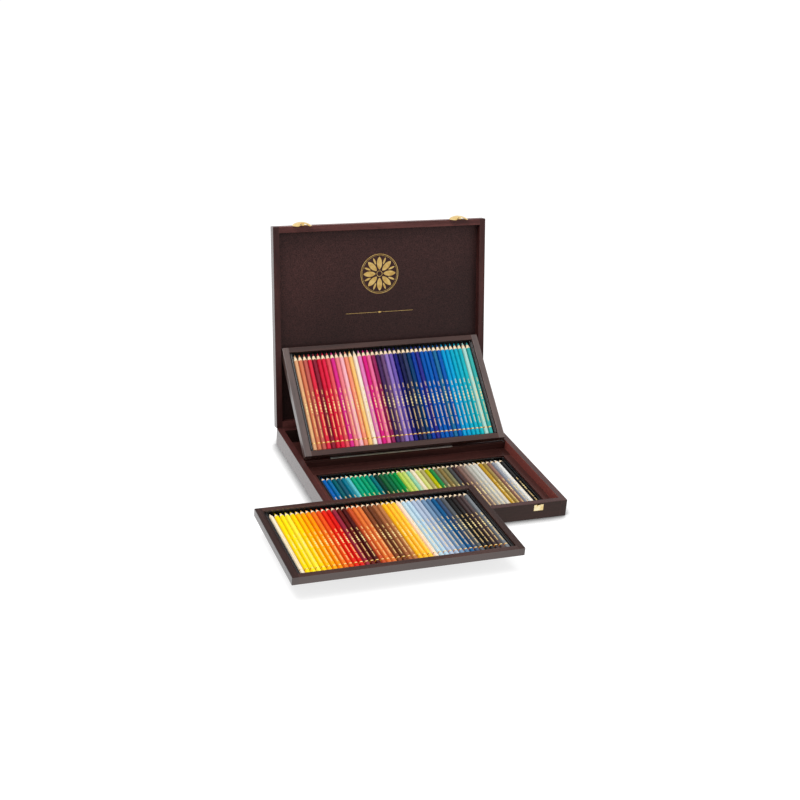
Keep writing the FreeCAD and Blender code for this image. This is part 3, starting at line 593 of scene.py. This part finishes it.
ring_mask = between(marks, down_pencil, 11.5, 13.4)
line = calc(marks, "SUBTRACT", down_pencil, given["Shift"])
wide = calc(marks, "ABSOLUTE", across)
dash = calc(marks, "LESS_THAN", calc(marks, "FRACT", calc(marks, "DIVIDE", line, 2.6)), 0.68)
runs = marked_runs(marks, line, (22.0, 36.0), (38.5, 60.5), (86.5, 92.5), (98.0, 107.0))
slim = calc(marks, "LESS_THAN", wide, 0.8)
dashes = calc(marks, "MULTIPLY", calc(marks, "MULTIPLY", dash, runs), slim)
step = calc(marks, "SUBTRACT", calc(marks, "FRACT", calc(marks, "DIVIDE", line, 6.2)), 0.5)
diamond = calc(marks, "ADD", calc(marks, "DIVIDE", wide, 1.5),
               calc(marks, "DIVIDE", calc(marks, "ABSOLUTE", step), 0.56))
lozenges = calc(marks, "MULTIPLY", calc(marks, "LESS_THAN", diamond, 1.0),
                between(marks, line, 65.1, 83.7))
top_flat = calc(marks, "GREATER_THAN", up, FLATS - 0.2)
plug(marks, result["Dashes"], calc(marks, "MULTIPLY", dashes, top_flat))
plug(marks, result["Lozenges"], calc(marks, "MULTIPLY", lozenges, top_flat))
plug(marks, result["Ring"], ring_mask)
print("gilt_marks:", len(marks.nodes), "nodes")

# %% [markdown]
# ## The pencil's three materials
#
# The lacquer is painted darker towards the gap between two pencils, a painted shade where the
# neighbours shadow it. The same colour tints the lead, and the cone between them is bare pale wood
# with its grain along the pencil.

# %% Pencil materials
def attribute(tree, name):
    """Read an attribute of the pencils."""
    return node(tree, "Attribute", attribute_name=name)


lacquer, tree, shader = new_material("coloured_lacquer", Coat_Weight=0.05, Coat_Roughness=0.08,
                                     Specular_IOR_Level=0.1)
own_place = attribute(tree, "own_place").outputs["Vector"]
tint = attribute(tree, "tint").outputs["Color"]
shift_of_marks = attribute(tree, "mark_shift").outputs["Fac"]
gilt = node(tree, "Group", {"Place": own_place, "Shift": shift_of_marks}, node_tree=marks)
pooled = node(tree, "TexNoise", {"Vector": object_place(tree), "Scale": 60.0, "Detail": 1.0})
from_middle = calc(tree, "ABSOLUTE", node(tree, "SeparateXYZ", {0: own_place}).outputs["X"])
# Painted shade: the lacquer darkens towards the flanks, where the gap between pencils lies in
# shadow.
gap_shade = times(tree, times(tree, tint, tint), grey(0.7))
shaded = mixed(tree, spread(tree, from_middle, 1.9, 3.7, 0.0, 0.55), tint, gap_shade)
dipped = mixed(tree, spread(tree, pooled.outputs[0], 0.3, 0.7, 0.0, 0.04), shaded, grey(0.0))
gilded = mixed(tree, gilt.outputs["Dashes"], dipped, rgb("EFCB80"))
gilded = mixed(tree, gilt.outputs["Lozenges"], gilded, rgb("EFD892"))
# Painted highlight and shade on the gold ring: lighter in the middle of the pencil, darker gold
# towards the sides.
ring_lit_and_shaded = mixed(tree, spread(tree, from_middle, 1.0, 2.2), rgb("FFE08C"), rgb("B8731A"))
plug(tree, shader.inputs["Base Color"], mixed(tree, gilt.outputs["Ring"], gilded, ring_lit_and_shaded))
plug(tree, shader.inputs["Roughness"], spread(tree, pooled.outputs[0], 0.3, 0.7, 0.24, 0.36))
bumped(tree, shader, pooled.outputs[0], 0.00002, 0.3)

bare_wood, tree, shader = new_material("sharpened_wood", Specular_IOR_Level=0.3)
stretched = node(tree, "Mapping", {"Vector": attribute(tree, "own_place").outputs["Vector"],
                                   "Scale": (2.6, 0.12, 2.6)})
fibre = node(tree, "TexNoise", {"Vector": stretched.outputs[0], "Scale": 1.0, "Detail": 4.0})
fibres = spread(tree, fibre.outputs[0], 0.3, 0.7)
plug(tree, shader.inputs["Base Color"], mixed(tree, fibres, rgb("F2CFA2"), rgb("FFF0D2")))
plug(tree, shader.inputs["Roughness"], spread(tree, fibre.outputs[0], 0.3, 0.7, 0.55, 0.7))
bumped(tree, shader, fibre.outputs[0], 0.00004, 0.5)

lead_wax, tree, shader = new_material("coloured_lead", Specular_IOR_Level=0.4)
surface = node(tree, "Group", {"Vector": object_place(tree), "Base": 0.42, "Variation": 0.14},
               node_tree=rubbed)
tint = attribute(tree, "tint").outputs["Color"]
plug(tree, shader.inputs["Base Color"],
     mixed(tree, calc(tree, "MULTIPLY", surface.outputs["Patches"], 0.18), tint, grey(0.0)))
plug(tree, shader.inputs["Roughness"], surface.outputs["Roughness"])
bumped(tree, shader, surface.outputs["Height"], 0.00002, 0.5)
PENCIL_FINISHES = [lacquer, bare_wood, lead_wax]
print([finish.name for finish in PENCIL_FINISHES])

# %% [markdown]
# ## Forty colours to a layer
#
# The colours run as they do in an artist's set: reds, pinks, violets and blues in the upper tray;
# greens, olives and greys in the case; yellows, oranges, browns and slate in the front tray. They
# are a palette of named paints, and each layer is a row of those names from left to right.

# %% The palette
PAINTS = {
    "tan": "E1AA7D", "burnt_tan": "D77D5A", "brick": "C35F55", "scarlet": "E12D46",
    "wine": "8C2337", "crimson": "D71E3C", "carmine": "E12346", "coral": "E6555F",
    "fuchsia": "DC2D8C", "salmon": "F0828C", "blush": "FAB9C3", "peach": "F59678",
    "apricot": "FAC878", "ivory": "FAEBD7", "orchid": "E682BE", "magenta": "DC1E82",
    "rose": "F06EA0", "plum": "96235A", "aubergine": "46285A", "mauve": "6E4B78",
    "lavender": "9678C3", "violet": "735AAF", "indigo": "1E1E78", "midnight": "14194B",
    "slate_navy": "2D375F", "petrol": "003C6E", "royal": "0A3CA0", "ultramarine": "2D2D8C",
    "cobalt": "0055AF", "azure": "005FB9", "sea_blue": "0050AA", "steel_blue": "1E6EA0",
    "gentian": "005AB4", "cyan": "00A0D7", "sky": "00A5D7", "bright_sky": "00AFCD",
    "turquoise": "0FB4CD", "lagoon": "14B9C3", "mint": "B4E1D7", "sea_green": "3CB4AF",
    "blue": "0064B4", "deep_teal": "006EA5", "teal": "005F69", "dark_teal": "145A6E",
    "peacock": "007891", "aqua": "5ABEC8", "emerald": "00A578", "veridian": "00A57D",
    "jade": "00A06E", "malachite": "009673", "bottle": "007378", "pine": "0F3C32",
    "fir": "1E643C", "leaf": "146E46", "clover": "0F8246", "grass": "0A9646", "spring": "BED75A",
    "lime": "C8DC78", "pale_green": "9BD4B2", "cream": "F5E6C8", "reed": "D7DC82",
    "khaki": "B4AA6E", "acid": "BEBE0A", "green": "288C46", "olive_grey": "7D7D5F",
    "olive_brown": "8C7846", "olive": "87825A", "charcoal": "4B4B4B", "bistre": "463232",
    "taupe_brown": "82645A", "taupe": "968278", "pebble": "B9B4AA", "light_grey": "CDCDC3",
    "pearl": "D7D5CD", "ochre": "BE9628", "bronze": "A0874B",
    "cocoa": "966E5F", "silver": "969BA5", "white": "F0F0EB", "black": "1E1E1E",
    "lemon": "FFE100", "canary": "FFE614", "primrose": "FFEB3C", "sun": "FFD700",
    "golden": "FFBE00", "saffron": "FAAA00", "orange": "FA9600", "tangerine": "F0781E",
    "vermilion": "EB5519", "red": "E62814", "signal": "DC1914", "claret": "96283C",
    "maroon": "641914", "oxblood": "4B1414", "rust": "C85028", "pumpkin": "E17332",
    "copper": "E1783C", "brown": "824628", "umber": "6E3C23", "sienna": "A5643C",
    "caramel": "B97846", "amber": "FABE1E", "honey": "FAC332", "straw": "FFCD3C",
    "shell": "FAE1C8", "ice": "C3DCE6", "frost": "BED7E6", "haze": "B4C3D7",
    "mist": "AFBED2", "dove_blue": "7896B4", "storm": "5A7DA0", "denim": "145A8C",
    "ink": "3C506E", "iron": "5A5F64", "soot": "231E1E", "sepia": "3C2D2D",
    "mocha": "504141", "ash": "787D82",
}
ROWS = {
    "top_tray": "tan burnt_tan brick scarlet wine crimson carmine coral fuchsia salmon blush peach "
                "apricot ivory orchid magenta rose plum aubergine mauve lavender violet indigo "
                "midnight slate_navy petrol royal ultramarine cobalt azure sea_blue steel_blue "
                "gentian cyan sky bright_sky turquoise lagoon mint sea_green",
    "bottom": "blue deep_teal teal dark_teal peacock aqua emerald veridian jade malachite bottle "
              "pine fir leaf clover grass spring lime pale_green cream reed khaki acid green "
              "olive_grey olive_brown olive charcoal bistre taupe_brown taupe pebble light_grey "
              "pearl ochre bronze cocoa silver white black",
    "front_tray": "cream lemon canary primrose sun golden saffron orange tangerine vermilion red "
                  "signal claret maroon oxblood rust pumpkin copper brown umber sienna caramel "
                  "amber honey straw shell ice frost haze mist dove_blue storm denim ink iron "
                  "black soot sepia mocha ash",
}
print({layer: len(row.split()) for layer, row in ROWS.items()})

# %% [markdown]
# ## Laying the pencils in
#
# Copies of the one pencil are laid side by side, corner to corner. Each copy gets its colour, its
# own place and a small shift of its gilt marks, which never line up quite from pencil to pencil.

# %% Pencil layers
END_GAP = 1.4                      # from the rail to the blunt ends
FLOOR = 0.8                        # thickness of the liner under the pencils
LACQUERED, BARE, COLOURED = range(3)
MARK_SHIFTS = (0.0, 1.6, -1.2, 2.4, 0.7, -1.8, 1.1)


def lay_pencils(layer):
    """Forty pencils of one layer as one piece."""
    place, body = LAYERS[layer]
    bm = bmesh.new()
    own_layer = bm.verts.layers.float_vector.new("own_place")
    tint_layer = bm.verts.layers.float_color.new("tint")
    shift_layer = bm.verts.layers.float.new("mark_shift")
    names = ROWS[layer].split()
    for number, name in enumerate(names):
        before = len(bm.verts)
        bm.from_mesh(pattern)
        bm.verts.ensure_lookup_table()
        added = bm.verts[before:]
        for vert in added:
            vert[own_layer] = vert.co
            vert[tint_layer] = rgb(PAINTS[name])
            vert[shift_layer] = MARK_SHIFTS[number % len(MARK_SHIFTS)]
        middle = (number - (len(names) - 1) / 2) * PITCH
        bmesh.ops.translate(bm, vec=(middle, END_GAP, FLOOR), verts=added)
    for face in bm.faces:
        reach = max(vert[own_layer].y for vert in face.verts)
        base = min(vert[own_layer].y for vert in face.verts)
        sharpened = base > cone_start(CORNERS / 2) - 1
        in_lead = base > cone_start(LEAD) - 0.1
        face.material_index = COLOURED if in_lead else BARE if sharpened else LACQUERED
        face.smooth = sharpened and reach > base + 0.01
    finish_piece(f"{layer}_pencil_set", bm, place, body, PENCIL_FINISHES,
                 [f"{layer}_pencils"])


for layer in ROWS:
    lay_pencils(layer)
bpy.data.meshes.remove(pattern)

# %% [markdown]
# ## The formed liners
#
# A liner is a black plastic sheet, drawn down warm over a mould: two raised beads along each side,
# a well for the pencils, and a low ridge between each two of them. It is modelled the same way. A
# flat grid is laid out with its lines where the mould bends, and then pressed to the mould's height.

# %% Form the liners
HALF = 166.2                       # half the liner's width
WELL = 160.95                      # half the width of the well
DEPTH = 8.2
LAYER_LENGTH = 181.4
TIPS_FROM = 171.0                  # from here on the sheet lies under the sharpened tips
SIDE_LINES = [(HALF, -1.6), (165.9, -0.45), (165.35, 0.0), (164.8, -0.35), (164.4, -1.5),
              (163.55, -1.8), (162.7, -1.5), (162.35, -0.35), (161.8, 0.0), (161.25, -0.45),
              (161.0, -1.6)]
RIDGE = 2.1                        # height of the ridges between the barrels
RIB = 3.1                          # and between the sharpened tips
END_LINES = [(0.3, -0.9), (0.36, -0.2), (0.5, 0.0), (0.72, 0.0), (0.86, -0.2), (0.9, -0.9)]
CORNER = 4.6                       # radius of the sheet's corners
CORNER_LINES = (1.5, 2.1, 2.8, 3.6, CORNER)
END_FLOOR = 0.95                   # where the well's floor begins


def round_corner(x, y):
    """Move a point of the square sheet so that the sheet's corners become round."""
    dx = abs(x) - (HALF - CORNER)
    middle = LAYER_LENGTH / 2
    dy = abs(y - middle) - (middle - END_LINES[0][0] - CORNER)
    if dx <= 0 or dy <= 0:
        return x, y
    shrink = max(dx, dy) / math.hypot(dx, dy)
    return (math.copysign(HALF - CORNER + dx * shrink, x),
            middle + math.copysign(abs(y - middle) - dy + dy * shrink, y - middle))


def liner_columns():
    """Lines across the layer: (x, height above the well's floor, kind)."""
    side = [(x, DEPTH - FLOOR + drop, "bead") for x, drop in SIDE_LINES]
    columns = [(-x, z, kind) for x, z, kind in side] + [(-WELL, 0.0, "floor")]
    ridges = len(ROWS["bottom"].split()) - 1
    for number in range(ridges):
        middle = (number - ridges // 2) * PITCH
        columns += [(middle - 1.2, 0.0, "floor"), (middle - 0.28, RIDGE, "ridge"),
                    (middle + 0.28, RIDGE, "ridge"), (middle + 1.2, 0.0, "floor")]
    return columns + [(WELL, 0.0, "floor")] + side[::-1]


def form_liner(layer):
    """One liner, pressed from a flat sheet."""
    place, body = LAYERS[layer]
    columns = liner_columns()
    ends = [(y, z, "wall") for y, z in END_LINES] + [(END_FLOOR, 0.0, "floor")]
    ends += [(y, 0.0, "floor") for y in CORNER_LINES]
    tips = [(TIPS_FROM - 3.5, 0.0, "floor"), (TIPS_FROM, 0.0, "tips")]
    tips += [(LAYER_LENGTH - y, 0.0, "tips") for y in CORNER_LINES[::-1] + (END_FLOOR,)]
    rear = [(LAYER_LENGTH - y, z, "wall") for y, z in END_LINES[::-1]]
    lines = ends + tips + rear
    bm = bmesh.new()
    bmesh.ops.create_grid(bm, x_segments=len(columns) - 1, y_segments=len(lines) - 1, size=0.5)
    for vert in bm.verts:
        x, height, kind = columns[round((vert.co.x + 0.5) * (len(columns) - 1))]
        y, drop, band = lines[round((vert.co.y + 0.5) * (len(lines) - 1))]
        if band == "wall":
            height = min(height, DEPTH - FLOOR + drop) if kind == "bead" else DEPTH - FLOOR + drop
        elif band == "tips" and kind == "ridge":
            height = RIB
        vert.co = Vector((*round_corner(x, y), FLOOR + height))
    border = [edge for edge in bm.edges if edge.is_boundary]
    skirt = bmesh.ops.extrude_edge_only(bm, edges=border)["geom"]
    for vert in [item for item in skirt if isinstance(item, bmesh.types.BMVert)]:
        vert.co.z = 0.05
    bmesh.ops.holes_fill(bm, edges=[edge for edge in bm.edges if edge.is_boundary])
    outward(bm)
    finish_piece(f"{layer}_formed_liner", bm, place, body, [black_plastic],
                 [f"{layer}_liner"])


for layer in ROWS:
    form_liner(layer)

# %% [markdown]
# ## The joint between lid and case
#
# The edges of lid and case are rounded, so a groove stays open between them along the hinges'
# axis, and daylight would show through it. A thin dark bead on that axis closes it, between the
# hinges and out to both ends; it is a dark piece that stands in for the shade in the groove. The lid
# turns about the same axis, so the bead fills the groove at every angle.

# %% Joint bead
BEAD_RADIUS = 0.8
BEAD_RUNS = ((-189.2, -140.4), (-99.6, 99.6), (140.4, 189.2))
bm = bmesh.new()
for start, end in BEAD_RUNS:
    made = bmesh.ops.create_cone(bm, cap_ends=True, segments=12, radius1=BEAD_RADIUS,
                                 radius2=BEAD_RADIUS, depth=end - start)
    bmesh.ops.rotate(bm, verts=made["verts"], cent=(0, 0, 0),
                     matrix=Matrix.Rotation(math.radians(90), 3, "Y"))
    bmesh.ops.translate(bm, vec=((start + end) / 2, HINGE_Y, HINGE_Z), verts=made["verts"])
# Painted shade: this dark bead stands in for the shade inside the joint's groove.
finish_piece("joint_shade_bead", bm, Matrix.Identity(4), "base", [woods["deck"]])

# %% [markdown]
# ## Gilding on the lid
#
# The inside of the lid carries a gilt ornament with a thin rule below it. Here it is a plain rosette
# of eight broad and eight slender petals in a double ring, which any workshop might stamp. Foil
# lies on the panel as a film, so each line is a flat ring or leaf of a few hundredths of a
# millimetre.

# %% Rosette and rule
FOIL = 0.06
PETALS = 8
ROSETTE_Y = -82.0
RULE_Y = -16.0


def flat_ring(bm, radius, width, segments=96):
    """A flat band between two circles, in the XY plane."""
    circles = [bmesh.ops.create_circle(bm, segments=segments, radius=size)["verts"]
               for size in (radius - width, radius)]
    edges = {edge for circle in circles for vert in circle for edge in vert.link_edges}
    bmesh.ops.bridge_loops(bm, edges=list(edges))


def petal(bm, turn, inner, outer, half_width):
    """A pointed leaf from one radius to another."""
    made = bmesh.ops.create_circle(bm, cap_ends=True, segments=24, radius=1.0)
    long = (outer - inner) / 2
    for vert in made["verts"]:
        round_share = vert.co.y
        vert.co.x *= long
        vert.co.y = round_share * abs(round_share) ** 0.6 * half_width
        vert.co.x += inner + long
    bmesh.ops.rotate(bm, verts=made["verts"], cent=(0, 0, 0), matrix=Matrix.Rotation(turn, 3, "Z"))


def stamp(name, bm, y):
    """Give flat foil its thickness and lay it on the lid's inner face."""
    bmesh.ops.solidify(bm, geom=bm.faces[:], thickness=FOIL)
    outward(bm)
    top = max(vert.co.z for vert in bm.verts)
    bmesh.ops.translate(bm, vec=(0, y, PANEL_FACE - top), verts=bm.verts)
    finish_piece(name, bm, LID, "lid", [gilding])


bm = bmesh.new()
flat_ring(bm, 34.0, 0.9)
flat_ring(bm, 31.6, 0.45)
flat_ring(bm, 5.2, 0.8, 48)
for number in range(PETALS):
    petal(bm, math.radians(360 / PETALS * number), 7.0, 29.0, 4.6)
    petal(bm, math.radians(360 / PETALS * (number + 0.5)), 17.0, 29.4, 1.7)
stamp("lid_gilt_rosette", bm, ROSETTE_Y)

bm = bmesh.new()
for side in (-1, 1):
    made = bmesh.ops.create_grid(bm, x_segments=1, y_segments=1, size=0.5)
    bmesh.ops.scale(bm, vec=(56.0, 0.5, 1.0), verts=made["verts"])
    bmesh.ops.translate(bm, vec=(side * 33.0, 0, 0), verts=made["verts"])
made = bmesh.ops.create_circle(bm, cap_ends=True, segments=4, radius=1.0)
bmesh.ops.scale(bm, vec=(4.0, 1.7, 1.0), verts=made["verts"])
stamp("lid_gilt_rule", bm, RULE_Y)

# %% [markdown]
# ## Floor
#
# The floor is plain white paper that takes the case's shadow. To the camera it glows, so that it
# reads as plain white, and darkens only where something stands close above it: there the glow is
# dimmed by ambient occlusion, a painted shadow.

# %% Floor
bm = bmesh.new()
bmesh.ops.create_grid(bm, x_segments=1, y_segments=1, size=9.0)
mesh = bpy.data.meshes.new("floor")
bm.to_mesh(mesh)
bm.free()
floor = bpy.data.objects.new("floor", mesh)
bpy.context.scene.collection.objects.link(floor)
made = bpy.data.materials.new("white_floor")
made.use_nodes = True
tree = made.node_tree
tree.nodes.clear()
path = tree.nodes.new("ShaderNodeLightPath")
plain = node(tree, "BsdfDiffuse", {"Color": grey(0.55)})
shown_plain = node(tree, "BsdfDiffuse", {"Color": grey(0.32)})
# Painted shadow: the camera's glow dims with ambient occlusion near the case and the trays.
near = node(tree, "AmbientOcclusion", {"Distance": 0.0315}, samples=16, only_local=False)
openness = spread(tree, near.outputs["AO"], 0.5, 0.84)
paper = node(tree, "TexNoise", {"Vector": object_place(tree), "Scale": 3.0})
sheet = spread(tree, paper.outputs[0], 0.0, 1.0, 0.86, 0.88)
glow = node(tree, "Emission", {"Color": grey(1.0),
                               "Strength": calc(tree, "MULTIPLY", openness, sheet)})
seen = node(tree, "AddShader", {0: shown_plain.outputs[0], 1: glow.outputs[0]})
white = node(tree, "Emission", {"Color": grey(1.0), "Strength": 1.0})
for_camera = node(tree, "MixShader", {0: path.outputs["Is Camera Ray"], 1: plain.outputs[0],
                                      2: seen.outputs[0]})
mirrored = calc(tree, "ADD", path.outputs["Is Glossy Ray"], path.outputs["Is Transmission Ray"],
                clamp=True)
shown = node(tree, "MixShader", {0: mirrored, 1: for_camera.outputs[0], 2: white.outputs[0]})
out = tree.nodes.new("ShaderNodeOutputMaterial")
plug(tree, out.inputs["Surface"], shown.outputs[0])
mesh.materials.append(made)
print("floor:", len(tree.nodes), "nodes")

# %% [markdown]
# ## Sky
#
# An even dim sky fills the shadows. To the camera and in reflections it is plain white.

# %% Sky
world = bpy.data.worlds.new("studio")
bpy.context.scene.world = world
world.use_nodes = True
tree = world.node_tree
tree.nodes.clear()
path = tree.nodes.new("ShaderNodeLightPath")
seen = calc(tree, "ADD", path.outputs["Is Camera Ray"], path.outputs["Is Transmission Ray"])
seen = calc(tree, "ADD", seen, path.outputs["Is Glossy Ray"], clamp=True)
ambient = node(tree, "Background", {"Color": grey(1.0), "Strength": 0.55})
backdrop = node(tree, "Background", {"Color": grey(1.0), "Strength": 1.0})
shown = node(tree, "MixShader", {0: seen, 1: ambient.outputs[0], 2: backdrop.outputs[0]})
out = tree.nodes.new("ShaderNodeOutputWorld")
plug(tree, out.inputs["Surface"], shown.outputs[0])
print("sky:", len(tree.nodes), "nodes")

# %% [markdown]
# ## Lamps
#
# One large soft light stands above on the left, and a weaker one in front on the right.

# %% Lamps
def softbox(name, place, target, width, height, watts):
    """A rectangular area lamp that looks at a point."""
    lamp = bpy.data.lights.new(name, "AREA")
    lamp.shape = "RECTANGLE"
    lamp.size = width
    lamp.size_y = height
    lamp.energy = watts
    holder = bpy.data.objects.new(name, lamp)
    holder.location = place
    away = Vector(target) - Vector(place)
    holder.rotation_euler = away.to_track_quat("-Z", "Y").to_euler()
    bpy.context.scene.collection.objects.link(holder)
    print(name, watts, "W")


softbox("key_softbox", (-0.8, 0.1, 2.1), (0, 0, 0.05), 1.6, 1.2, 35.0)
softbox("fill_softbox", (1.4, -1.6, 1.5), (0, 0, 0.1), 1.2, 1.0, 5.2)

# %% [markdown]
# ## Camera
#
# The camera stands in front on the left and looks down on the open case. It is given by its place
# and three angles: the turn about the vertical, the look down and the roll.

# %% Camera
CAMERA_PLACE = Vector((-0.82537, -1.92163, 1.09022))
YAW, PITCH_DOWN, ROLL = (math.radians(value) for value in (22.238, -24.475, 4.667))
ahead = Vector((math.sin(YAW) * math.cos(PITCH_DOWN), math.cos(YAW) * math.cos(PITCH_DOWN),
                math.sin(PITCH_DOWN)))
level_right = Vector((math.cos(YAW), -math.sin(YAW), 0))
level_up = level_right.cross(ahead)
right = math.cos(ROLL) * level_right + math.sin(ROLL) * level_up
upward = math.cos(ROLL) * level_up - math.sin(ROLL) * level_right
lens = bpy.data.cameras.new("camera")
lens.sensor_width = 36.0
lens.lens = 64.47
lens.clip_end = 50.0
camera = bpy.data.objects.new("camera", lens)
pose = Matrix((right, upward, -ahead)).transposed().to_4x4()
camera.matrix_world = Matrix.Translation(CAMERA_PLACE) @ pose
bpy.context.scene.collection.objects.link(camera)
bpy.context.scene.camera = camera
bpy.context.scene.view_settings.view_transform = "Standard"
print("camera at", [round(v, 3) for v in CAMERA_PLACE], "looks", [round(v, 3) for v in ahead])
